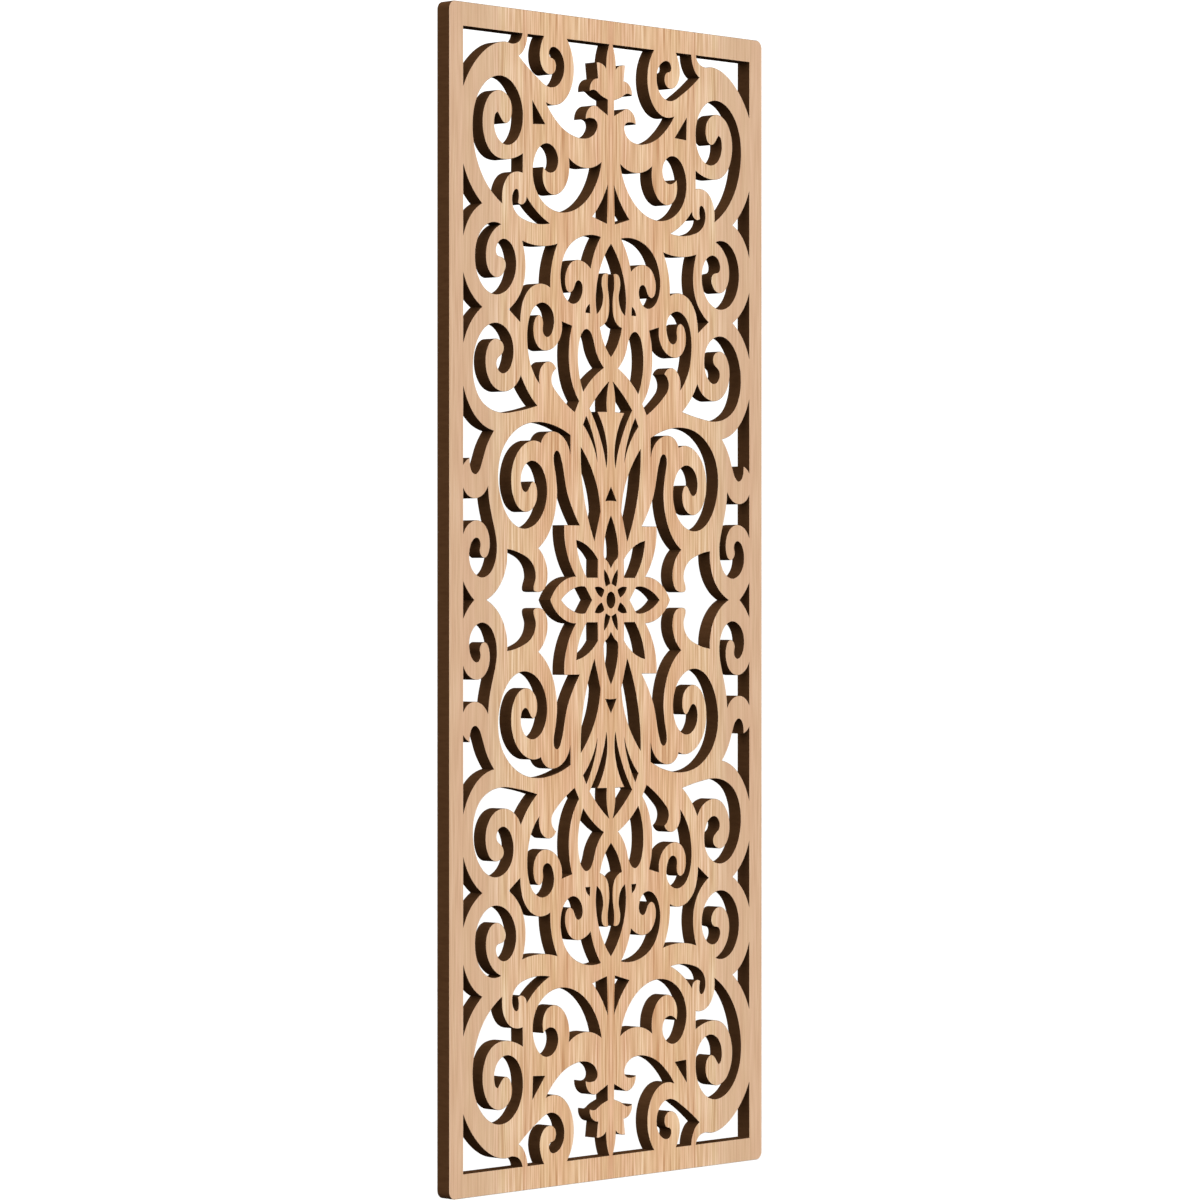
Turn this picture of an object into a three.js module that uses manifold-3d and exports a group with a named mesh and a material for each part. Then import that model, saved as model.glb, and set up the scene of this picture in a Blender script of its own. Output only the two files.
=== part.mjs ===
// A fretwork grille: one thin flat board, pierced right through with scrolls, leaves and a rosette,
// and left whole along its border. The pattern is drawn for one quarter and mirrored for the others.
// The board stands upright in X and Z, its face looks along -Y, and the origin is the point where it is
// fastened: on its back face, in the middle of its top rail.

import * as THREE from 'three';
import { mergeVertices } from 'three/addons/utils/BufferGeometryUtils.js';
import Module from 'manifold-3d';

const wasm = await Module();
wasm.setup();

// Driving dimensions, in millimetres
const BOARD_WIDTH = 280;
const BOARD_HEIGHT = 711;
const BOARD_THICKNESS = 10;
const STILE_WIDTH = 12;
const RAIL_WIDTH = 14.5;
const CORNER_RADIUS = 5;

// How far the saw passes through each face of the board, in millimetres
const SAW_OVERRUN = 2;

// Fineness of the facets: how far one may run inside the true curve, in millimetres, and how far the
// outline may turn from one to the next, in degrees
const CURVE_TOLERANCE = 0.6;
const MAX_FACET_TURN = 40;

// Finish of the board: pale bare birch, sanded and left without varnish
const WOOD_COLOUR = '#d8b494';
const WOOD_ROUGHNESS = 0.62;

// Headings of the pen, in degrees from +X
const FULL_TURN = 360;
const HALF_TURN = FULL_TURN / 2;
const QUARTER_TURN = FULL_TURN / 4;
const RIGHT = 0;
const UP = QUARTER_TURN;
const LEFT = HALF_TURN;
const DOWN = HALF_TURN + QUARTER_TURN;

// A scroll's topmost, leftmost, lowest or rightmost point lies between the sides that come before and
// after it. Because the curve tightens, it is nearer to the inner one. This is the outer side's share.
const OUTER_SHARE = 0.44;

// Which way a scroll turns
const LEFTWARD = 1;
const RIGHTWARD = -1;

/** Nodes of a scroll's edge that winds inwards from one point to another, by way of the sides that it
 * touches. The start has a heading along X or Z. Each side is one number: x where the edge runs
 * upright there, and y where it runs level. */
function windIn(start, heading, turn, sides, end) {
  const quarterTurn = QUARTER_TURN * turn;
  const runsLevel = (h) => h % HALF_TURN === 0;
  const first = runsLevel(heading) ? [start[1], start[0]] : start;
  const last = runsLevel(heading + quarterTurn * (sides.length + 1)) ? [end[1], end[0]] : end;
  const reaches = [first[0], ...sides, last[0]];
  const nodes = [[...start, heading]];
  sides.forEach((side, i) => {
    const h = heading + quarterTurn * (i + 1);
    const along = reaches[i] * OUTER_SHARE + reaches[i + 2] * (1 - OUTER_SHARE);
    nodes.push(runsLevel(h) ? [along, side, h] : [side, along, h]);
  });
  nodes.push([...end, heading + quarterTurn * (sides.length + 1)]);
  return nodes;
}

/** The same for an edge that winds outwards: the inward one from the other end, walked backwards. */
function windOut(start, heading, turn, sides, end) {
  const endHeading = heading + QUARTER_TURN * turn * (sides.length + 1);
  const inward = windIn(end, endHeading + HALF_TURN, -turn, [...sides].reverse(), start);
  return inward.reverse().map(([x, y, h]) => [x, y, h - HALF_TURN]);
}

// Openings of one quarter, right of the centre line and above the middle, as drawn in millimetres from
// the middle of the panel. The whole drawing is stretched to fill the field inside the border. A node
// with two numbers is a sharp corner. A node with three is passed smoothly, and the third is the
// heading there.
const CROWN = [
  [1.6, 341],
  [38.8, 341],
  [32.8, 323, DOWN],
  [51, 299.9, RIGHT],
  [57.3, 301],
  [49, 291.5, 224],
  [25, 281.7, LEFT],
  [12.2, 291, UP],
  [17, 294.5, RIGHT],
  [22.6, 293.6],
  [14, 302.7, LEFT],
  [9.5, 300.8, 212],
  [3, 297.6],
  [3, 307],
  [9, 309.1, 27],
  [15, 312, RIGHT],
  [19, 311],
  [17.4, 316.8, 131],
  [11.6, 319.5],
  [12.85, 329.3],
  [9, 329.05, 190],
  [4.5, 326.4],
  [3.85, 333.9, 101],
];

const TOP_COMMA = [
  [59.3, 341],
  [62.9, 329, DOWN],
  [54, 318.2, LEFT],
  [48.5, 323.5, UP],
  [51.8, 328.4, RIGHT],
  [54.6, 331, UP],
  [51, 335.1, LEFT],
  [41.5, 324, DOWN],
  [53, 310.7, RIGHT],
  [63, 314.6, 37],
  [80.8, 327.4],
  [75.2, 333.2, 114],
  [73.2, 341],
];

const CORNER_WEDGE = [
  [77.8, 341],
  [128, 341],
  [128, 305.8],
  [116, 323.2, 135],
  [92, 334.95, LEFT],
  [86, 334.3, LEFT],
];

const UPPER_TRIANGLE = [
  [58.3, 288],
  [68.5, 287.4],
  [69.1, 301.2],
];

const CORNER_SCROLL = [
  [95.2, 237.9],
  [109.2, 250.1, 52],
  ...windIn([120, 283.5], UP, LEFTWARD, [314, 77.5, 273.2], [101.8, 285.5]),
  [99, 292.1, LEFT],
  [96.2, 288.6, 235],
  ...windOut([92, 285.9], LEFT, RIGHTWARD, [86.5, 305.5], [111.9, 285.3]),
  [107.4, 270.8, 235],
  [94, 264.2, LEFT],
  [77.5, 268.6],
  [77.7, 257.4],
  [82, 257.8, RIGHT],
  [95.4, 241.5, DOWN],
];

const CENTRE_SCROLL = [
  [8.6, 268],
  [22.5, 263.6, RIGHT],
  [37.2, 268.6],
  [36.7, 263.5, DOWN],
  [51, 245.5, RIGHT],
  [60.5, 257, UP],
  [59.6, 262],
  [53.3, 259, LEFT],
  ...windOut([46.9, 266.5], UP, RIGHTWARD, [276.3, 68.7], [44, 235.5]),
  [20.3, 245.7, 135],
];

const LEAF_SCROLL = [
  [54.4, 228.1],
  [65, 234.2, 36],
  [74, 242.7],
  [79, 237.9, RIGHT],
  [81.8, 238.9],
  [81.1, 244.5, UP],
  [82.7, 247, RIGHT],
  [86.4, 240.5, DOWN],
  [81.5, 231.7, 212],
  [61.5, 227.3, LEFT],
];

const STEM_TRIANGLE = [
  [2.8, 254.6],
  [8.6, 243.9, 302],
  [16.4, 234.5],
  [3.7, 231],
];

const UPPER_SIDE_DART = [
  [128, 259],
  [128, 217],
  [121.7, 229.3, 128],
  [112.3, 236.7],
  [121.6, 246.7, 55],
];

const CROWN_SCROLL = [
  [9.3, 222.3],
  [15.5, 223.1, RIGHT],
  [38.6, 213.5, 309],
  [44.5, 196, DOWN],
  [33.5, 180.5, LEFT],
  [25.4, 190.5, UP],
  [29, 194.7, RIGHT],
  [32.1, 191.3, 288],
  [36.7, 187, RIGHT],
  [40.8, 194, UP],
  [29.5, 207.4, LEFT],
  [18.2, 202.8],
  [14.8, 213, 114],
];

const SIDE_SCROLL = [
  [96.4, 225.1],
  [101.8, 226, RIGHT],
  [118, 204.8, DOWN],
  [100.7, 183, LEFT],
  [83.3, 202.3, UP],
  [93.5, 216.4, RIGHT],
  [100.2, 209, DOWN],
  [97, 205.8, LEFT],
  [92, 201.5, DOWN],
  [100, 193.1, RIGHT],
  [109.1, 206, UP],
];

const KITE = [
  [47.6, 215.9],
  [62, 213.9, RIGHT],
  [77.8, 216.1],
  [74.9, 200.5, DOWN],
  [79.3, 184.5, 302],
  [89.3, 174.5],
  [79.7, 167.4],
  [79.2, 173.5, 97],
  [61.5, 191.4, LEFT],
  [53.8, 189.5],
  [52.5, 203, 103],
];

const MIDDLE_SIDE_DART = [
  [128, 194.5],
  [128, 153],
  [122, 165.3, 126],
  [112.3, 174.9],
  [122, 183.3, 51],
];

const NOTCH = [
  [19, 180.7],
  [18.6, 175.5],
  [22.5, 175.5],
  [21.6, 178.2, 125],
];

const BRANCH = [
  [34.7, 166.8],
  [43.4, 169],
  [58.5, 150.8, RIGHT],
  [68.5, 163, UP],
  [63.3, 172.3, LEFT],
  [59.6, 167, DOWN],
  [60, 163.5, DOWN],
  [56.2, 159.4, LEFT],
  ...windOut([50.5, 170], UP, RIGHTWARD, [179.7], [73.4, 160]),
  [70.7, 142.6, 248],
  [63.2, 131],
  [63.5, 135, 93],
  [54.8, 144.5, LEFT],
  [48.3, 140.3],
  [52.4, 133.5, DOWN],
  [49, 127.2, 220],
  [32.3, 114.6],
  [28.5, 121.3],
  [33.5, 129.2, 65],
  [37.6, 149.5, UP],
];

const BUD = [
  [21.8, 165.4, RIGHT],
  [29.1, 148, DOWN],
  [24.6, 127.4],
  [15.8, 136.3, 143],
  [6.6, 142.4],
  [13.5, 152, 66],
  [16.4, 160.5, 70],
];

const LOWER_SIDE_SCROLL = [
  [65.2, 117.4],
  [72.7, 125, 53],
  [79.1, 135],
  ...windIn([94.5, 124.9], RIGHT, LEFTWARD, [109.4, 156.5], [93.6, 151.5]),
  [96.5, 146.4, 335],
  [99.8, 142, DOWN],
  [94.5, 136, LEFT],
  [85.6, 150, UP],
  [100.5, 165.8, RIGHT],
  [119.8, 138.5, DOWN],
  [113.3, 119.7, 228],
  [93, 112.3, LEFT],
  [84, 113.4, 170],
];

const ARROW = [
  [1.8, 134],
  [11, 125.8, 314],
  [18.9, 117],
  [9.3, 99.2, 246],
  [4.1, 81.2],
  [3.3, 88, UP],
  [12.3, 115.3],
  [3.8, 115.5],
  [4.1, 121, UP],
];

const FAN_SLOT = [
  [22, 112.2],
  [24.6, 107],
  [17, 97, 238],
  [12, 84.7],
  [15.3, 98.5, 70],
];

const HOOKED_DART = [
  [102.3, 101.2],
  [111, 104.2, 27],
  [118.6, 110.2, 48],
  [128, 127],
  [128, 80.6],
  [125.4, 83.2, 143],
  [122.5, 84.7],
  [122.4, 82.3, DOWN],
  [118, 75.1, LEFT],
  [112.3, 82.5, 106],
];

const GREAT_SCROLL = [
  [36, 100.2],
  [64.5, 107.4, RIGHT],
  [98.3, 75.5, DOWN],
  ...windIn([76.3, 43.1], LEFT, RIGHTWARD, [56.6, 83.9], [79, 72]),
  [75, 65.2, LEFT],
  [71.9, 68, 120],
  [68.6, 71.6, LEFT],
  ...windOut([64.8, 64], DOWN, LEFTWARD, [53, 87.6], [67, 96.4]),
  [61.8, 95.1],
  [52, 102.3, LEFT],
  [36, 88.6],
];

const LONG_PETAL = [
  [26.7, 93],
  [24, 64, 258],
  [14.7, 36.3],
  [9.5, 54.2],
  [14.8, 75, 65],
];

const SHORT_PETAL = [
  [12, 13.8],
  [21.5, 13.8],
  [27.8, 24.6, 68],
  [30.6, 36.4],
  [20, 32.3, 212],
  [11.8, 24.8],
];

const BORDER_SCROLL = [
  [107.2, 67.8],
  [103.4, 48, 251],
  [99.8, 31.5, DOWN],
  [111.8, 13.6, RIGHT],
  [122.9, 26.3, UP],
  [116.7, 37, LEFT],
  [113.7, 33, DOWN],
  [114.3, 29.5, DOWN],
  [110, 25.1, LEFT],
  [105.5, 34, UP],
  [116.3, 47.6, RIGHT],
  [128, 39.5],
  [128, 66.5],
  [118.5, 60.5, LEFT],
];

const UPRIGHT_SEED = [
  [0.7, 10.1],
  [2.6, 14.6, 62],
  [5.9, 18.5],
  [5.8, 13.5, 266],
  [4.5, 8.4],
];

const LEVEL_SEED = [
  [6.1, 6.1],
  [10, 7.9, 8],
  [14.2, 7.6],
  [11.5, 3.7, 228],
  [8.3, 1.7],
  [7.2, 3.4, 110],
];

const QUARTER_OPENINGS = [
  CROWN, TOP_COMMA, CORNER_WEDGE, UPPER_TRIANGLE, CORNER_SCROLL, CENTRE_SCROLL, LEAF_SCROLL,
  STEM_TRIANGLE, UPPER_SIDE_DART, CROWN_SCROLL, SIDE_SCROLL, KITE, MIDDLE_SIDE_DART, NOTCH, BRANCH, BUD,
  LOWER_SIDE_SCROLL, ARROW, FAN_SLOT, HOOKED_DART, GREAT_SCROLL, LONG_PETAL, SHORT_PETAL, BORDER_SCROLL,
  UPRIGHT_SEED, LEVEL_SEED,
];

// Openings that cross the upright centre line. Each list is the right half, from the line to the line.
const TONGUED_LEAF = [
  [0, 218.6],
  [13.4, 183, DOWN],
  [12.5, 175.3],
  [7.1, 185.5, UP],
  [8.5, 195, UP],
  [5, 200.5, LEFT],
  [2.2, 200.1],
  [2.75, 195, DOWN],
  [1.3, 181, DOWN],
  [4.2, 170.6, 315],
  [9.6, 167.3],
  [6.2, 157.7, 242],
  [0, 149.4],
];

const STEM_WEDGE = [
  [0, 69.3],
  [4.8, 60.8],
  [0, 61.1],
];

const STEM_LEAF = [
  [0, 51.6],
  [5.3, 38, 283],
  [6.3, 30, DOWN],
  [6.1, 26.6],
  [2.6, 23.4, 228],
  [0, 19.7],
];

const STEM_OPENINGS = [TONGUED_LEAF, STEM_WEDGE, STEM_LEAF];

// Openings that cross the level middle line. Each list is the upper half, from the line to the line.
const SIDE_PETAL = [
  [43.9, 0],
  [34.5, 6.3, 158],
  [25, 8.2, LEFT],
  [22.5, 7.5],
  [17, 0],
];

const SIDE_HOLLOW = [
  [53.8, 0],
  [44.6, 10.4, 147],
  [31.3, 14.4],
  [38.7, 27.2, 68],
  [41.6, 41, 86],
  [41.5, 45.6],
  [28, 45.6],
  [34.2, 55.2, 60],
  [38.5, 64, 68],
  [44.3, 86, 76],
  [47.7, 90.4, RIGHT],
  [50.5, 86.5, DOWN],
  [48.6, 75.5, 259],
  [47.5, 65, DOWN],
  [51.5, 46.5, 292],
  [63.8, 31.3],
  [55.8, 15, DOWN],
  [62.5, 4.9, RIGHT],
  [66, 4.9, RIGHT],
  [68.3, 6.8, UP],
  [66.4, 14.5, UP],
  [71, 23.7, 40],
  [80, 28.1, 21],
  [90.6, 30.4],
  [95.5, 10.8, 303],
  [108.3, 0],
];

const MIDDLE_DART = [
  [119, 0],
  [124, 4.9, 50],
  [128, 10.8],
  [128, 0],
];

const LEVEL_OPENINGS = [SIDE_PETAL, SIDE_HOLLOW, MIDDLE_DART];

// The rosette's eye, a quarter of it
const EYE = [
  [3.8, 0, UP],
  [0, 5, LEFT],
];

const toRadians = THREE.MathUtils.degToRad;
const direction = (heading) => new THREE.Vector2(Math.cos(toRadians(heading)), Math.sin(toRadians(heading)));
const turnBetween = (from, to) =>
  THREE.MathUtils.euclideanModulo(to - from + HALF_TURN, FULL_TURN) - HALF_TURN;

/** One stretch of an outline, from a node to the next, as a cubic curve. Where both headings turn the
 * same way it is close to an arc of an ellipse, and where they don't it is an S. */
function stretchBetween(from, to) {
  const a = new THREE.Vector2(from[0], from[1]);
  const b = new THREE.Vector2(to[0], to[1]);
  const chord = new THREE.Vector2().subVectors(b, a);
  const chordHeading = THREE.MathUtils.radToDeg(Math.atan2(chord.y, chord.x));
  const length = chord.length();
  const isCorner = (node) => node.length === 2;
  if (isCorner(from) && isCorner(to)) return { curve: new THREE.LineCurve(a, b), length, turn: 0 };

  const startLean = isCorner(from) ? null : turnBetween(from[2], chordHeading);
  const endLean = isCorner(to) ? startLean : turnBetween(chordHeading, to[2]);
  const lean = startLean === null ? endLean : startLean;
  const turn = toRadians(lean + endLean);
  const bendsOneWay = lean * endLean > 0;
  const arcShare = (4 / 3) * Math.tan(turn / 4) / Math.tan(turn / 2);
  const tangentLength = (farLean) => length * Math.sin(toRadians(farLean)) / Math.sin(turn);
  const startHandle = bendsOneWay ? arcShare * tangentLength(endLean) : length / 3;
  const endHandle = bendsOneWay ? arcShare * tangentLength(lean) : length / 3;
  const leave = direction(chordHeading - lean).multiplyScalar(startHandle).add(a);
  const arrive = direction(chordHeading + endLean).multiplyScalar(-endHandle).add(b);
  const curve = new THREE.CubicBezierCurve(a, leave, arrive, b);
  return { curve, length, turn: Math.abs(lean) + Math.abs(endLean) };
}

/** Points along the nodes, closer together where the outline bends more. */
function pointsAlong(nodes) {
  const points = [new THREE.Vector2(nodes[0][0], nodes[0][1])];
  for (let i = 0; i + 1 < nodes.length; i++) {
    const { curve, length, turn } = stretchBetween(nodes[i], nodes[i + 1]);
    const forTolerance = Math.sqrt(length * toRadians(turn) / (8 * CURVE_TOLERANCE));
    const facets = Math.ceil(Math.max(1, forTolerance, turn / MAX_FACET_TURN));
    for (let k = 1; k <= facets; k++) points.push(curve.getPoint(k / facets));
  }
  return points;
}

/** Points scaled across and upwards. A scale of -1 mirrors them. */
const scaled = (points, x, y) => points.map((p) => new THREE.Vector2(p.x * x, p.y * y));
const closedLoop = (nodes) => pointsAlong([...nodes, nodes[0]]).slice(0, -1);

/** A half outline that starts and ends on a centre line, carried on by its own mirror image. */
const withMirrorImage = (half, x, y) => [...half, ...scaled(half, x, y).reverse().slice(1)];
const closedByMirror = (half, x, y) => withMirrorImage(half, x, y).slice(0, -1);

/** Every opening of the whole field as a closed loop of points, still as drawn. */
function drawnOpenings() {
  const bothSides = [1, -1];
  const inEveryQuarter = (loop) => bothSides.flatMap((x) => bothSides.map((y) => scaled(loop, x, y)));
  const aboveAndBelow = (loop) => bothSides.map((y) => scaled(loop, 1, y));
  const leftAndRight = (loop) => bothSides.map((x) => scaled(loop, x, 1));
  const upperEye = withMirrorImage(pointsAlong(EYE), -1, 1);
  return [
    ...QUARTER_OPENINGS.flatMap((nodes) => inEveryQuarter(closedLoop(nodes))),
    ...STEM_OPENINGS.flatMap((nodes) => aboveAndBelow(closedByMirror(pointsAlong(nodes), -1, 1))),
    ...LEVEL_OPENINGS.flatMap((nodes) => leftAndRight(closedByMirror(pointsAlong(nodes), 1, -1))),
    closedByMirror(upperEye, 1, -1),
  ];
}

/** The openings stretched so that the outermost ones lie along the border. */
function fittedOpenings() {
  const loops = drawnOpenings();
  const reachX = Math.max(...loops.flat().map((p) => p.x));
  const reachY = Math.max(...loops.flat().map((p) => p.y));
  const scaleX = (BOARD_WIDTH / 2 - STILE_WIDTH) / reachX;
  const scaleY = (BOARD_HEIGHT / 2 - RAIL_WIDTH) / reachY;
  return loops.map((loop) => scaled(loop, scaleX, scaleY));
}

/** The board's own outline, with round corners. */
function boardOutline() {
  const halfX = BOARD_WIDTH / 2;
  const halfY = BOARD_HEIGHT / 2;
  const quarter = pointsAlong([
    [halfX, 0, UP],
    [halfX, halfY - CORNER_RADIUS, UP],
    [halfX - CORNER_RADIUS, halfY, LEFT],
    [0, halfY, LEFT],
  ]);
  const withoutMiddles = quarter.slice(1, -1);
  const upper = [...withoutMiddles, ...scaled(withoutMiddles, -1, 1).reverse()];
  return [...upper, ...scaled(upper, 1, -1).reverse()];
}

/** Closed outlines carried straight through from one height to another, as one solid. */
function solidBetween(outlines, bottom, top) {
  const shapes = outlines.map((points) => new THREE.Shape(points));
  const geometry = new THREE.ExtrudeGeometry(shapes, { depth: top - bottom, bevelEnabled: false });
  geometry.deleteAttribute('normal');
  geometry.deleteAttribute('uv');
  geometry.translate(0, 0, bottom);
  const merged = mergeVertices(geometry);
  const vertProperties = new Float32Array(merged.attributes.position.array);
  const triVerts = new Uint32Array(merged.index.array);
  return new wasm.Manifold(new wasm.Mesh({ numProp: 3, vertProperties, triVerts }));
}

/** The pierced board, its back face in the XZ plane and the origin in the middle of its top rail. */
function fretworkGeometry() {
  const blank = solidBetween([boardOutline()], 0, BOARD_THICKNESS);
  const sawn = solidBetween(fittedOpenings(), -SAW_OVERRUN, BOARD_THICKNESS + SAW_OVERRUN);
  const { vertProperties, triVerts } = blank.subtract(sawn).getMesh();
  const geometry = new THREE.BufferGeometry();
  geometry.setAttribute('position', new THREE.BufferAttribute(vertProperties, 3));
  geometry.setIndex(new THREE.BufferAttribute(triVerts, 1));
  geometry.rotateX(Math.PI / 2);
  geometry.translate(0, 0, (RAIL_WIDTH - BOARD_HEIGHT) / 2);
  geometry.computeVertexNormals();
  return geometry;
}

const wood = new THREE.MeshStandardMaterial({ color: WOOD_COLOUR, roughness: WOOD_ROUGHNESS, metalness: 0 });

const board = new THREE.Mesh(fretworkGeometry(), wood);
board.name = 'fretwork_board';

const grille = new THREE.Group();
grille.name = 'fretwork_grille';
grille.add(board);

export default grille;
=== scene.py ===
"""A fretwork grille of pale birch with charred cut edges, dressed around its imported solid.

The solid's outlines are faceted. The board shown here is cut along the smooth curves that those
facets stand for, with its arrises eased, and it takes the place of the solid's own mesh.
"""

import logging
import math
from dataclasses import dataclass, field
from enum import Enum
from typing import Any, ClassVar

import bmesh
import bpy
import numpy as np
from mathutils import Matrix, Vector
from mathutils.geometry import delaunay_2d_cdt


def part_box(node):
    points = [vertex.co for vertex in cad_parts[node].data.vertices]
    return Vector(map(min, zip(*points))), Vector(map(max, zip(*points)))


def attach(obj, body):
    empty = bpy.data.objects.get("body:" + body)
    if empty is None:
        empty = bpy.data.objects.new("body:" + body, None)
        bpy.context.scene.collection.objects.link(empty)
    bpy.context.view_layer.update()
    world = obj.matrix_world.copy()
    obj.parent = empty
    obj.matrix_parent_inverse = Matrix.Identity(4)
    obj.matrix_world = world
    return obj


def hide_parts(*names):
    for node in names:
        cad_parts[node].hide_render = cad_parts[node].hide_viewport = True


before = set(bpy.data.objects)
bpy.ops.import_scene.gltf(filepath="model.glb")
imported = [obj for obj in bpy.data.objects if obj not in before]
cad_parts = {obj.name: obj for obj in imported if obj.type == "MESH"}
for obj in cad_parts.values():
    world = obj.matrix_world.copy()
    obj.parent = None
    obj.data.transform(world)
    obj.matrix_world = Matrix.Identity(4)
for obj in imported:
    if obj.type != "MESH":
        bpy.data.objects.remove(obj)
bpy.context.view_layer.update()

MM = 0.001
NOISE_MIDDLE = 0.5
LOG = logging.getLogger("fretwork")


class Slot(Enum):
    """The two surfaces of a sawn board, as its material slots."""

    FACE = 0
    CUT = 1


class Triangulation(Enum):
    """Which triangles Blender's constrained triangulation gives back."""

    INSIDE_THE_OUTLINES = 1


def to_linear(hex_colour: str) -> tuple[float, float, float, float]:
    """Turns an sRGB hex colour into linear light.

    A coded value v is v / 12.92 up to 0.04045, and ((v + 0.055) / 1.055) ** 2.4 above that.

    Args:
        hex_colour: Six hex digits after a hash sign.

    Returns:
        Linear red, green and blue, and an alpha of 1.
    """
    parts = [int(hex_colour[i:i + 2], 16) / 255 for i in (1, 3, 5)]
    linear = [p / 12.92 if p <= 0.04045 else ((p + 0.055) / 1.055) ** 2.4 for p in parts]
    return (*linear, 1.0)


def add_node(
    tree: bpy.types.NodeTree,
    kind: str,
    settings: dict[str, Any] | None = None,
    inputs: dict[str | int, Any] | None = None,
) -> bpy.types.Node:
    """Adds a node with its settings and links.

    Args:
        tree: The node tree it goes into.
        kind: The node's type, such as ShaderNodeMath.
        settings: Values for the node's own properties.
        inputs: For each input socket, by name or number, a value or another node's output.

    Returns:
        The new node.
    """
    node = tree.nodes.new(kind)
    for name, value in (settings or {}).items():
        setattr(node, name, value)
    for key, value in (inputs or {}).items():
        if isinstance(value, bpy.types.NodeSocket):
            tree.links.new(value, node.inputs[key])
        else:
            node.inputs[key].default_value = value
    return node


def new_material(name: str) -> tuple[bpy.types.Material, bpy.types.NodeTree]:
    """Makes an empty node material.

    Args:
        name: The material's name.

    Returns:
        The material and its node tree, with nothing in it.
    """
    material = bpy.data.materials.new(name)
    material.use_nodes = True
    material.node_tree.nodes.clear()
    return material, material.node_tree


def set_stops(ramp: bpy.types.ColorRamp, stops: dict[float, str]) -> None:
    """Gives a new colour ramp its stops.

    Args:
        ramp: The ramp.
        stops: A hex colour for each place from 0 to 1.
    """
    middle = 0.5  # New elements start here, between the two that every ramp has.
    while len(ramp.elements) < len(stops):
        ramp.elements.new(middle)
    for element, (place, colour) in zip(ramp.elements, sorted(stops.items())):
        element.position = place
        element.color = to_linear(colour)


@dataclass(frozen=True)
class Streaks:
    """One size of streak in a straight grain.

    Attributes:
        width_mm: Its width across the grain, in millimetres.
        stretch: Its length as a multiple of its width.
        detail: How many finer octaves are in it.
        roughness: How much of each octave's height the next one has.
        tints: The tints it gives the wood, by place along its noise.
    """

    width_mm: float
    stretch: float
    detail: float
    tints: dict[float, str]
    roughness: float = 0.5


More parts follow.
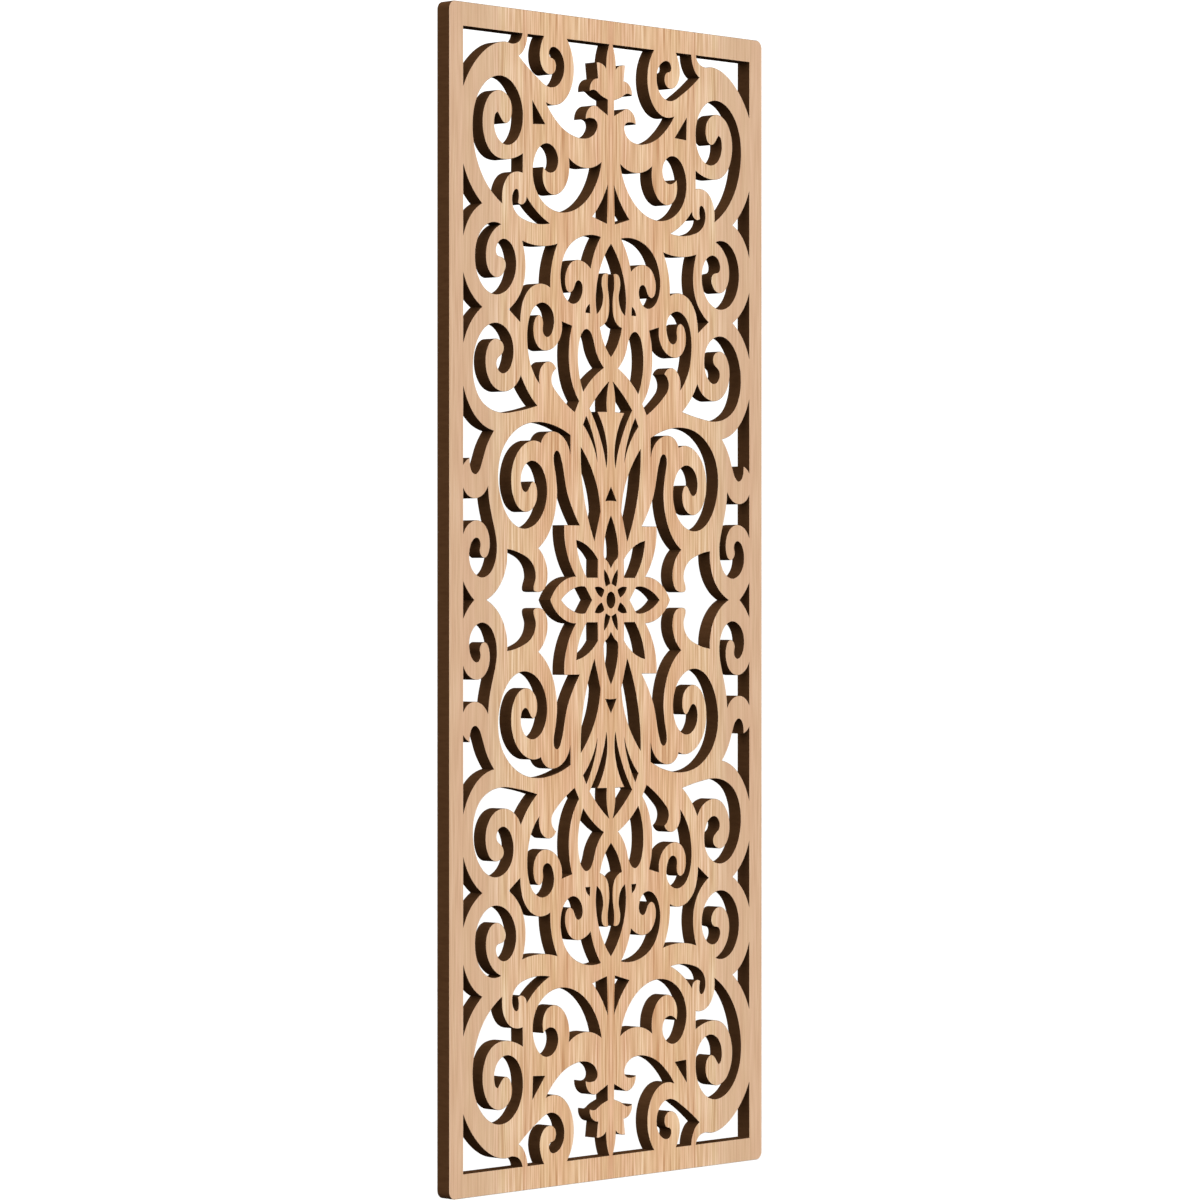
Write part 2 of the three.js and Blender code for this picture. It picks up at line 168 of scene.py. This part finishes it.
@dataclass(frozen=True)
class SandedBirch:
    """Birch face veneer, sanded fine and left bare: satin, pale, with straight upright grain.

    The veneer is matched in four, so the grain mirrors itself about the middle of the board, left
    to right and top to bottom. Its growth rings are cut nearly edge-on: faint darker rings a few
    millimetres apart, gathered into a warm streak between the middle and the stiles, and fine
    fibres, all running the height of the board. Towards the stiles the wood is a little pinker and
    its grain quieter. The finest real fibres, about 0.1 mm wide, would vanish at a step away, so
    the fibres here are drawn as wide as they need to show.

    Attributes:
        centre: The middle of the board, in metres.
        half_width_mm: The distance from the middle of the board to its side.
        ground: The wood's own colour, by share of that distance.
        bands: Broad faint bands, pinker and yellower by turns.
        rings: Growth rings.
        fibres: Fibres, which also stand up as the face's relief.
        quiet_from_mm: Where the grain starts to fade, off the middle of the board.
        quiet_to_mm: Where it has faded.
        quiet_share: How much of it is left there.
        sway_mm: How far the grain leans out of its line.
        sway_length_mm: Over what height it does so.
        sway_detail: How many finer octaves are in that lean.
        sway_roughness: How much of each octave's lean the next one has.
        relief_mm: The height of the relief.
        roughness: The shader's roughness, that of fine sanding.
        ior: The refractive index of wood.
    """

    centre: tuple[float, float, float] = (0.0, 0.0, -0.34825)
    half_width_mm: float = 140.0
    ground: ClassVar[dict[float, str]] = {
        0.0: "#e8c4a6",
        0.2: "#eed3b6",
        0.3: "#e9c7a7",
        0.4: "#ebccad",
        0.65: "#edd3ba",
        0.77: "#d4b293",
        1.0: "#d4b294",
    }
    bands: Streaks = Streaks(8.0, 30.0, 1.0, {0.32: "#fcf4f0", 0.5: "#fdf9f3", 0.68: "#fbfbf0"})
    rings: Streaks = Streaks(3.4, 60.0, 2.0, {0.3: "#eee3d6", 0.44: "#f8f4ef", 0.7: "#ffffff"})
    fibres: Streaks = Streaks(0.9, 42.0, 1.0, {0.3: "#d1b79b", 0.5: "#ece2d4", 0.7: "#ffffff"})
    quiet_from_mm: float = 94.0
    quiet_to_mm: float = 106.0
    quiet_share: float = 0.45
    sway_mm: float = 2.5
    sway_length_mm: float = 110.0
    sway_detail: float = 2.0
    sway_roughness: float = 0.45
    relief_mm: float = 0.02
    roughness: float = 0.62
    ior: float = 1.5

    def material(self) -> bpy.types.Material:
        """Builds the node material.

        Returns:
            The material.
        """
        material, tree = new_material("sanded_birch")
        place = self.swayed(tree, self.matched(tree))
        across = add_node(tree, "ShaderNodeSeparateXYZ", inputs={"Vector": place}).outputs["X"]
        share = add_node(
            tree,
            "ShaderNodeMapRange",
            {"clamp": True},
            {
                "Value": across,
                "From Min": 0.0,
                "From Max": self.half_width_mm * MM,
                "To Min": 0.0,
                "To Max": 1.0,
            },
        )
        strength = add_node(
            tree,
            "ShaderNodeMapRange",
            {"clamp": True},
            {
                "Value": across,
                "From Min": self.quiet_from_mm * MM,
                "From Max": self.quiet_to_mm * MM,
                "To Min": 1.0,
                "To Max": self.quiet_share,
            },
        )
        ground = add_node(tree, "ShaderNodeValToRGB", inputs={"Fac": share.outputs["Result"]})
        set_stops(ground.color_ramp, self.ground)
        colour = ground.outputs["Color"]
        for streaks in (self.bands, self.rings, self.fibres):
            noise = self.drawn_out(tree, place, streaks)
            tint = add_node(tree, "ShaderNodeValToRGB", inputs={"Fac": noise})
            set_stops(tint.color_ramp, streaks.tints)
            tinted = add_node(
                tree,
                "ShaderNodeMix",
                {"data_type": "RGBA", "blend_type": "MULTIPLY"},
                {"Factor": strength.outputs["Result"], "A": colour, "B": tint.outputs["Color"]},
            )
            colour = tinted.outputs["Result"]
        # The last noise is that of the fibres.
        relief = add_node(
            tree,
            "ShaderNodeBump",
            inputs={"Height": noise, "Distance": self.relief_mm * MM, "Strength": 1.0},
        )
        shader = add_node(
            tree,
            "ShaderNodeBsdfPrincipled",
            inputs={
                "Base Color": colour,
                "Roughness": self.roughness,
                "IOR": self.ior,
                "Normal": relief.outputs["Normal"],
            },
        )
        add_node(tree, "ShaderNodeOutputMaterial", inputs={"Surface": shader.outputs["BSDF"]})
        return material

    def matched(self, tree: bpy.types.NodeTree) -> bpy.types.NodeSocket:
        """Folds the board into one of its four quarters.

        Each place becomes the size of its coordinates off the middle of the board.

        Args:
            tree: The node tree.

        Returns:
            The folded places, in metres.
        """
        place = add_node(tree, "ShaderNodeTexCoord").outputs["Object"]
        off_centre = add_node(
            tree,
            "ShaderNodeMapping",
            {"vector_type": "POINT"},
            {"Vector": place, "Location": tuple(-c for c in self.centre)},
        )
        folded = add_node(
            tree,
            "ShaderNodeVectorMath",
            {"operation": "ABSOLUTE"},
            {0: off_centre.outputs["Vector"]},
        )
        return folded.outputs["Vector"]

    def swayed(
        self, tree: bpy.types.NodeTree, place: bpy.types.NodeSocket
    ) -> bpy.types.NodeSocket:
        """Lets the grain lean to and fro a little as it climbs.

        The place across the board moves by twice the sway times how far a slow noise of the place
        stands off its middle.

        Args:
            tree: The node tree.
            place: Places in metres.

        Returns:
            The places to read the grain at.
        """
        slow = add_node(
            tree,
            "ShaderNodeTexNoise",
            {"noise_dimensions": "3D"},
            {
                "Vector": place,
                "Scale": 1 / (self.sway_length_mm * MM),
                "Detail": self.sway_detail,
                "Roughness": self.sway_roughness,
            },
        )
        centred = add_node(
            tree,
            "ShaderNodeVectorMath",
            {"operation": "SUBTRACT"},
            {0: slow.outputs["Color"], 1: (NOISE_MIDDLE,) * 3},
        )
        sideways = add_node(
            tree,
            "ShaderNodeVectorMath",
            {"operation": "MULTIPLY_ADD"},
            {0: centred.outputs["Vector"], 1: (2 * self.sway_mm * MM, 0.0, 0.0), 2: place},
        )
        return sideways.outputs["Vector"]

    def drawn_out(
        self, tree: bpy.types.NodeTree, place: bpy.types.NodeSocket, streaks: Streaks
    ) -> bpy.types.NodeSocket:
        """Makes noise that is drawn out along the height of the board.

        Args:
            tree: The node tree.
            place: The places to read it at, in metres.
            streaks: Its sizes.

        Returns:
            The noise, a value around its middle.
        """
        squeezed = add_node(
            tree,
            "ShaderNodeMapping",
            {"vector_type": "POINT"},
            {"Vector": place, "Scale": (1.0, 1.0, 1 / streaks.stretch)},
        )
        noise = add_node(
            tree,
            "ShaderNodeTexNoise",
            {"noise_dimensions": "3D"},
            {
                "Vector": squeezed.outputs["Vector"],
                "Scale": 1 / (streaks.width_mm * MM),
                "Detail": streaks.detail,
                "Roughness": streaks.roughness,
            },
        )
        return noise.outputs["Fac"]


@dataclass(frozen=True)
class CharredCut:
    """The edge that a laser leaves on birch: a thin brown char, matt, with faint lines in it.

    The beam burns each layer of the board a little differently, so the lines run across the cut,
    through the thickness. Their real spacing is about 0.3 mm, and they are drawn coarser here so
    that they show.

    Attributes:
        line_mm: The spacing of the lines, in millimetres.
        line_stretch: Their length as a multiple of that.
        line_detail: How many finer octaves are in them.
        chars: The colours of the char, by place along the noise of the lines.
        roughness: The shader's roughness, that of soot.
        ior: The refractive index of charred wood.
        specular_level: How glossy it is. Char is too loose to shine.
    """

    line_mm: float = 1.6
    line_stretch: float = 6.0
    line_detail: float = 2.0
    chars: ClassVar[dict[float, str]] = {0.3: "#3a2515", 0.5: "#3d2817", 0.7: "#402a19"}
    roughness: float = 0.85
    ior: float = 1.45
    specular_level: float = 0.0

    def material(self) -> bpy.types.Material:
        """Builds the node material.

        Returns:
            The material.
        """
        material, tree = new_material("charred_cut")
        place = add_node(tree, "ShaderNodeTexCoord").outputs["Object"]
        squeezed = add_node(
            tree,
            "ShaderNodeMapping",
            {"vector_type": "POINT"},
            {"Vector": place, "Scale": (1.0, 1 / self.line_stretch, 1.0)},
        )
        lines = add_node(
            tree,
            "ShaderNodeTexNoise",
            {"noise_dimensions": "3D"},
            {
                "Vector": squeezed.outputs["Vector"],
                "Scale": 1 / (self.line_mm * MM),
                "Detail": self.line_detail,
            },
        )
        char = add_node(tree, "ShaderNodeValToRGB", inputs={"Fac": lines.outputs["Fac"]})
        set_stops(char.color_ramp, self.chars)
        shader = add_node(
            tree,
            "ShaderNodeBsdfPrincipled",
            inputs={
                "Base Color": char.outputs["Color"],
                "Roughness": self.roughness,
                "IOR": self.ior,
                "Specular IOR Level": self.specular_level,
            },
        )
        add_node(tree, "ShaderNodeOutputMaterial", inputs={"Surface": shader.outputs["BSDF"]})
        return material


@dataclass
class Outlines:
    """Closed outlines in the plane of the board, one after another, with the wood on the left.

    Attributes:
        points: One row of x and z for each point, in metres, in order along each outline.
        outline: For each point, the number of the outline that it is on, rising.
        flatness: How far off the front face a corner may lie and still belong to it, in metres.
    """

    points: np.ndarray
    outline: np.ndarray
    flatness: ClassVar[float] = 0.1 * MM

    @classmethod
    def of_front(cls, mesh: bpy.types.Mesh) -> "Outlines":
        """Reads the outlines off the front face of a solid.

        A side of a front triangle lies on an outline where no other front triangle has that side
        the other way round.

        Args:
            mesh: A closed mesh of triangles whose front face looks along -Y.

        Returns:
            The outlines of that face.
        """
        mesh.calc_loop_triangles()
        places = np.empty(len(mesh.vertices) * 3)
        mesh.vertices.foreach_get("co", places)
        places = places.reshape(-1, 3)
        corners = np.empty(len(mesh.loop_triangles) * 3, dtype=np.int64)
        mesh.loop_triangles.foreach_get("vertices", corners)
        corners = corners.reshape(-1, 3)
        is_front = np.isclose(places[:, 1], places[:, 1].min(), atol=cls.flatness)
        corners = corners[is_front[corners].all(axis=1)]
        start = corners.ravel()
        end = np.roll(corners, -1, axis=1).ravel()
        count = len(places)
        on_outline = ~np.isin(start * count + end, end * count + start)
        start, end = start[on_outline], end[on_outline]
        used, numbered = np.unique(np.concatenate([start, end]), return_inverse=True)
        before = np.empty(len(used), dtype=np.int64)
        before[numbered[len(start):]] = numbered[:len(start)]
        lowest, rank = cls.places_along(before)
        order = np.lexsort((rank, lowest))
        outline = np.unique(lowest[order], return_inverse=True)[1]
        return cls(places[used][order][:, [0, 2]], outline)

    @staticmethod
    def places_along(before: np.ndarray) -> tuple[np.ndarray, np.ndarray]:
        """Finds which loop each point is on, and how many steps along it.

        Looking back one step, then two, then four, and so on, each point learns the lowest number
        on its loop, and then its distance from the point that has that number.

        Args:
            before: For each point, the number of the one before it.

        Returns:
            For each point, the lowest number on its loop and its steps from there.
        """
        doublings = range(len(before).bit_length())
        own_number = np.arange(len(before))
        lowest = own_number
        back = before
        for _ in doublings:
            lowest = np.minimum(lowest, lowest[back])
            back = back[back]
        is_first = lowest == own_number
        back = np.where(is_first, lowest, before)
        rank = np.where(is_first, 0, 1)
        for _ in doublings:
            rank = rank + rank[back]
            back = back[back]
        return lowest, rank

    @property
    def first(self) -> np.ndarray:
        """For each outline, the number of its first point."""
        return np.searchsorted(self.outline, np.arange(self.outline[-1] + 1))

    @property
    def following(self) -> np.ndarray:
        """Looks one step ahead along each outline.

        Returns:
            For each point, the number of the next one.
        """
        following = np.arange(1, len(self.outline) + 1)
        following[np.append(self.first[1:], len(self.outline)) - 1] = self.first
        return following

    @property
    def before(self) -> np.ndarray:
        """Looks one step back along each outline.

        Returns:
            For each point, the number of the one before it.
        """
        before = np.empty_like(self.outline)
        before[self.following] = np.arange(len(self.outline))
        return before

    def steps(self) -> np.ndarray:
        """The step from each point to the next one."""
        return self.points[self.following] - self.points


@dataclass(frozen=True)
class Smoothing:
    """How the facets of an outline are turned back into curves.

    A facet that stands for a curve runs inside it by at most facet_depth, so a facet of length L
    can turn by no more than about 8 * facet_depth / L, half of it at each end. A point where the
    outline turns further than its two facets could, or further than corner_turn, is a real corner
    and stays sharp. Lengths are in metres and angles in radians.

    Attributes:
        facet_depth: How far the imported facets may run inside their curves.
        slack: How many times that depth is allowed for.
        straight_excess: A facet that would get more than this times the turn that it could hide at
            that end is straight.
        corner_turn: A turn beyond this is always a corner.
        fine_depth: How far the fine steps may run inside the curves.
        fine_turn: How far a fine step may turn.
        straight_bend: A facet that bends by less than this is divided only by its turn.
        least_bend: The bend that a straight facet is worked out with, so nothing divides by zero.
    """

    facet_depth: float = 0.6 * MM
    slack: float = 1.15
    straight_excess: float = 1.5
    corner_turn: float = math.radians(58)
    fine_depth: float = 0.02 * MM
    fine_turn: float = math.radians(9)
    straight_bend: float = 1e-4
    least_bend: float = 1e-6

    def smoothed(self, rough: Outlines) -> Outlines:
        """Lays a cubic curve along each facet and divides it into fine steps.

        With leans a and b off a chord of length c, each handle of the curve is
        c * 2/3 * tan((|a| + |b|) / 4) / sin((|a| + |b|) / 2), which draws an arc where a and b are
        equal. An arc of length c that bends by w runs c * w / 8 off its chord, and n steps divide
        that by n * n.

        Args:
            rough: The faceted outlines.

        Returns:
            The fine ones.
        """
        following = rough.following
        step = rough.steps()
        length = np.hypot(step[:, 0], step[:, 1])
        heading = np.arctan2(step[:, 1], step[:, 0])
        start, end = self.leans(rough, length, heading)
        bend = np.maximum(np.abs(start) + np.abs(end), self.least_bend)
        handle = (length * 2 / 3 * np.tan(bend / 4) / np.sin(bend / 2))[:, None]
        a = rough.points
        d = rough.points[following]
        b = a + handle * self.towards(heading - start)
        c = d - handle * self.towards(heading + end)

        by_turn = bend / self.fine_turn
        by_depth = np.sqrt(length * bend / (8 * self.fine_depth))
        by_depth = np.where(bend > self.straight_bend, by_depth, 0)
        parts = np.ceil(np.maximum(1, np.maximum(by_turn, by_depth))).astype(np.int64)
        first = np.concatenate([[0], np.cumsum(parts)[:-1]])
        side = np.repeat(np.arange(len(parts)), parts)
        number = np.arange(parts.sum())
        t = ((number - first[side]) / parts[side])[:, None]
        points = (1 - t) ** 3 * a[side] + 3 * (1 - t) ** 2 * t * b[side]
        points += 3 * (1 - t) * t ** 2 * c[side] + t ** 3 * d[side]
        return Outlines(points, rough.outline[side])

    def leans(
        self, rough: Outlines, length: np.ndarray, heading: np.ndarray
    ) -> tuple[np.ndarray, np.ndarray]:
        """Finds how far the curve along each facet leans off it at its two ends.

        The tangent at a smooth point splits its turn between the two facets by their lengths, and
        no facet gets more than it could hide. At a corner the curve leaves with the lean that it
        has at its other end.

        Args:
            rough: The faceted outlines.
            length: The length of each facet, by the point that it starts from.
            heading: Its heading.

        Returns:
            The lean of each facet's curve at its start and at its end.
        """
        before, following = rough.before, rough.following
        turn = np.angle(np.exp(1j * (heading - heading[before])))
        size = np.abs(turn)
        hidden = self.slack * 4 * self.facet_depth / length
        is_corner = (size > self.corner_turn) | (size > hidden + hidden[before])
        share = size * length[before] / (length[before] + length)
        is_straight_before = share > self.straight_excess * hidden[before]
        is_straight_after = size - share > self.straight_excess * hidden
        share = np.clip(share, size - hidden, hidden[before])
        share = np.where(is_straight_before, 0, np.where(is_straight_after, size, share))
        arriving = np.sign(turn) * share
        leaving = turn - arriving
        start = np.where(is_corner, np.nan, leaving)
        end = np.where(is_corner, np.nan, arriving)[following]
        start, end = np.where(np.isnan(start), end, start), np.where(np.isnan(end), start, end)
        return np.nan_to_num(start), np.nan_to_num(end)

    @staticmethod
    def towards(heading: np.ndarray) -> np.ndarray:
        """The unit vector along each heading: its cosine and its sine."""
        return np.stack([np.cos(heading), np.sin(heading)], axis=1)


@dataclass
class FretworkBoard:
    """The pierced board: scrolls, leaves and a rosette cut right through one thin flat piece.

    Attributes:
        node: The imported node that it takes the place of.
        merge_distance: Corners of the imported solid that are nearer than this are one, in metres.
        arris: How much of each sharp edge is eased off, in metres.
        mitre_limit: The furthest that an eased corner may move, as a multiple of the arris.
        least_opening: The least that a corner's 1 + u.v is taken to be, so a spike stays finite.
        triangulation_epsilon_mm: How near two points count as one in the triangulation.
        smooth_turn: Edges that turn by less than this are shaded as one surface, in radians.
        smoothing: How its outlines are made smooth.
        face: The finish of its front and back.
        cut: The finish of its walls and arrises.
    """

    node: str = "fretwork_board"
    merge_distance: float = 0.001 * MM
    arris: float = 0.2 * MM
    mitre_limit: float = 2.5
    least_opening: float = 1e-3
    triangulation_epsilon_mm: float = 1e-6
    smooth_turn: float = math.radians(32)
    smoothing: Smoothing = field(default_factory=Smoothing)
    face: SandedBirch = field(default_factory=SandedBirch)
    cut: CharredCut = field(default_factory=CharredCut)

    def outlines(self) -> Outlines:
        """Reads the board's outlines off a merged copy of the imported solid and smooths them.

        Returns:
            The fine outlines.
        """
        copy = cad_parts[self.node].data.copy()
        solid = bmesh.new()
        solid.from_mesh(copy)
        bmesh.ops.remove_doubles(solid, verts=solid.verts, dist=self.merge_distance)
        solid.to_mesh(copy)
        solid.free()
        fine = self.smoothing.smoothed(Outlines.of_front(copy))
        bpy.data.meshes.remove(copy)
        return fine

    def eased(self, outlines: Outlines) -> np.ndarray:
        """Moves each outline into the wood by the arris, with mitred corners.

        With u and v the unit normals of the two steps at a point, towards the wood, the point
        moves by arris * (u + v) / (1 + u.v), shortened where a corner is very sharp.

        Args:
            outlines: The board's outlines.

        Returns:
            The moved points.
        """
        step = outlines.steps()
        step /= np.hypot(step[:, 0], step[:, 1])[:, None]
        leaving = np.stack([-step[:, 1], step[:, 0]], axis=1)
        arriving = leaving[outlines.before]
        opening = np.maximum(1 + (leaving * arriving).sum(axis=1), self.least_opening)
        move = (leaving + arriving) / opening[:, None]
        reach = np.hypot(move[:, 0], move[:, 1])
        move *= (np.minimum(reach, self.mitre_limit) / reach)[:, None]
        return outlines.points + self.arris * move

    def build(self) -> bpy.types.Object:
        """Carries the eased edge profile along every outline and fills the two faces.

        The profile is four places through the thickness: eased front, front, back and eased back.
        Its grid is profile place by outline point. The walls and the arrises between those places
        are the cut. The faces are the same triangles, front and back.

        Returns:
            The board, as an object at the origin.
        """
        low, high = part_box(self.node)
        outlines = self.outlines()
        inner = self.eased(outlines)
        count = len(inner)
        depths = np.array([low.y, low.y + self.arris, high.y - self.arris, high.y])
        rings = np.stack([inner, outlines.points, outlines.points, inner])
        vertices = np.empty((len(depths), count, 3))
        vertices[:, :, 0] = rings[:, :, 0]
        vertices[:, :, 1] = depths[:, None]
        vertices[:, :, 2] = rings[:, :, 1]

        here, following = np.arange(count), outlines.following
        near = np.arange(len(depths) - 1)[:, None] * count
        far = near + count
        quads = np.stack([near + here, far + here, far + following, near + following], axis=-1)
        quads = quads.reshape(-1, 4)
        front = self.filled(Outlines(inner, outlines.outline))
        back = front[:, ::-1] + (len(depths) - 1) * count

        mesh = bpy.data.meshes.new("pierced_board")
        faces = [*quads.tolist(), *front.tolist(), *back.tolist()]
        mesh.from_pydata(vertices.reshape(-1, 3).tolist(), [], faces)
        slots = np.full(len(faces), Slot.FACE.value)
        slots[:len(quads)] = Slot.CUT.value
        mesh.polygons.foreach_set("material_index", slots)
        mesh.shade_smooth()
        mesh.set_sharp_from_angle(angle=self.smooth_turn)
        mesh.update()
        board = bpy.data.objects.new("pierced_board", mesh)
        bpy.context.scene.collection.objects.link(board)
        return board

    def filled(self, outlines: Outlines) -> np.ndarray:
        """Fills flat outlines with triangles and leaves their openings empty.

        Every outline goes in as a face of its own, the openings turned round. A triangle is wood
        where the board's own outline is the only face that holds it. Twice the area that an
        outline goes round is the sum of x * next z - next x * z.

        Args:
            outlines: The outlines, the openings' ones clockwise.

        Returns:
            The triangles as point numbers, anticlockwise seen from the front.
        """
        loops = np.split(np.arange(len(outlines.points)), outlines.first[1:])
        x, z = outlines.points.T
        after = outlines.following
        swept = np.add.reduceat(x * z[after] - x[after] * z, outlines.first)
        faces = [(loop if area > 0 else loop[::-1]).tolist() for loop, area in zip(loops, swept)]
        board_number = int(np.argmax(swept))
        places, _, triangles, old_points, _, old_faces = delaunay_2d_cdt(
            outlines.points / MM,
            [],
            faces,
            Triangulation.INSIDE_THE_OUTLINES.value,
            self.triangulation_epsilon_mm,
        )
        if len(places) != len(x):
            raise ValueError(f"the outlines cross: {len(x)} points became {len(places)}")
        is_wood = np.array([held == [board_number] for held in old_faces])
        number = np.array(old_points).ravel()
        return number[np.array(triangles)[is_wood]]

    def dress(self, board: bpy.types.Object) -> None:
        """Gives the faces their bare wood and the cut its char.

        Args:
            board: The object from build.
        """
        board.data.materials.append(self.face.material())
        board.data.materials.append(self.cut.material())
        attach(board, "root")
        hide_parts(self.node)


@dataclass(frozen=True)
class PaleFloor:
    """A plain matt floor, well below the hanging board.

    Its paint is a light grey that the surround lifts to just white. Light that it would throw back
    up is left out, as if it stood much further down, so the undersides of the cut stay dark.

    Attributes:
        height: Where it lies, in metres.
        side: The length of its sides, in metres.
        colour: Its paint.
        roughness: The paint's roughness.
    """

    height: float = -1.75
    side: float = 200.0
    colour: str = "#b0afae"
    roughness: float = 0.9

    def build(self) -> None:
        """Adds the floor."""
        half = self.side / 2
        mesh = bpy.data.meshes.new("floor")
        rim = [(-half, -half), (half, -half), (half, half), (-half, half)]
        mesh.from_pydata([(x, y, self.height) for x, y in rim], [], [(0, 1, 2, 3)])
        material, tree = new_material("matt_floor_paint")
        shader = add_node(
            tree,
            "ShaderNodeBsdfPrincipled",
            inputs={"Base Color": to_linear(self.colour), "Roughness": self.roughness},
        )
        add_node(tree, "ShaderNodeOutputMaterial", inputs={"Surface": shader.outputs["BSDF"]})
        mesh.materials.append(material)
        floor = bpy.data.objects.new("floor", mesh)
        floor.visible_diffuse = False
        floor.visible_glossy = False
        bpy.context.scene.collection.objects.link(floor)


@dataclass(frozen=True)
class SoftSurround:
    """White light from all sides, stronger from above and from the left, and faint from below.

    Attributes:
        level: Its brightness at the horizon.
        overhead: Its brightness straight above.
        from_left: What is added straight to the left.
        below: Its brightness underneath.
        fade_start: The sine of the angle under the horizon where it starts to fade.
        fade_end: The sine of the angle where it has faded.
    """

    level: float = 1.05
    overhead: float = 2.55
    from_left: float = 1.4
    below: float = 0.22
    fade_start: float = -0.03
    fade_end: float = -0.12

    def build(self) -> None:
        """Makes the world.

        Brightness is a sum of one part that rises with the sine of the angle above the horizon and
        one that rises with the share of the direction that points left. It fades to below under
        the horizon.
        """
        world = bpy.data.worlds.new("soft_surround")
        world.use_nodes = True
        tree = world.node_tree
        tree.nodes.clear()
        towards = add_node(tree, "ShaderNodeTexCoord").outputs["Generated"]
        parts = add_node(tree, "ShaderNodeSeparateXYZ", inputs={"Vector": towards}).outputs
        # For each term: the part of the direction, its range, and the term's values at the ends.
        terms = {
            "rising": ("Z", (0.0, 1.0), (self.level, self.overhead)),
            "leftward": ("X", (0.0, -1.0), (0.0, self.from_left)),
            "above": ("Z", (self.fade_end, self.fade_start), (0.0, 1.0)),
        }
        ranged = {
            name: add_node(
                tree,
                "ShaderNodeMapRange",
                {"clamp": True},
                {
                    "Value": parts[axis],
                    "From Min": source[0],
                    "From Max": source[1],
                    "To Min": result[0],
                    "To Max": result[1],
                },
            ).outputs["Result"]
            for name, (axis, source, result) in terms.items()
        }
        total = add_node(
            tree,
            "ShaderNodeMath",
            {"operation": "ADD"},
            {0: ranged["rising"], 1: ranged["leftward"]},
        )
        strength = add_node(
            tree,
            "ShaderNodeMix",
            {"data_type": "FLOAT"},
            {"Factor": ranged["above"], "A": self.below, "B": total.outputs["Value"]},
        )
        glow = add_node(
            tree,
            "ShaderNodeBackground",
            inputs={"Color": (1.0, 1.0, 1.0, 1.0), "Strength": strength.outputs["Result"]},
        )
        add_node(tree, "ShaderNodeOutputWorld", inputs={"Surface": glow.outputs["Background"]})
        bpy.context.scene.world = world


@dataclass(frozen=True)
class Studio:
    """A soft white surround, a pale floor, and a level camera on the left.

    Attributes:
        camera_place: Where the photograph was taken from, in metres.
        camera_forward: Which way it looks.
        focal_px: Its focal length, in pixels of the photograph.
        frame_px: The photograph's width.
        sensor_mm: The width of the sensor that the focal length is stated for.
    """

    camera_place: tuple[float, float, float] = (-2.0684, -1.9556, -0.34825)
    camera_forward: tuple[float, float, float] = (0.7268, 0.6869, 0.0)
    focal_px: float = 4624.0
    frame_px: float = 1200.0
    sensor_mm: float = 36.0

    def build(self) -> None:
        """Adds the surround, floor and camera."""
        bpy.context.scene.view_settings.view_transform = "Standard"
        SoftSurround().build()
        PaleFloor().build()
        self.place_camera()

    def place_camera(self) -> None:
        """Adds the camera where the photograph was taken from."""
        data = bpy.data.cameras.new("camera")
        data.sensor_width = self.sensor_mm
        data.lens = self.focal_px / self.frame_px * self.sensor_mm
        camera = bpy.data.objects.new("camera", data)
        camera.location = self.camera_place
        camera.rotation_euler = Vector(self.camera_forward).to_track_quat("-Z", "Y").to_euler()
        bpy.context.scene.collection.objects.link(camera)
        bpy.context.scene.camera = camera


def main() -> None:
    """Builds the studio and the board, in that order."""
    logging.basicConfig(level=logging.INFO, format="%(name)s: %(message)s")
    Studio().build()
    maker = FretworkBoard()
    board = maker.build()
    maker.dress(board)
    mesh = board.data
    LOG.info("%s: %d vertices, %d faces", board.name, len(mesh.vertices), len(mesh.polygons))


if __name__ == "__main__":
    main()
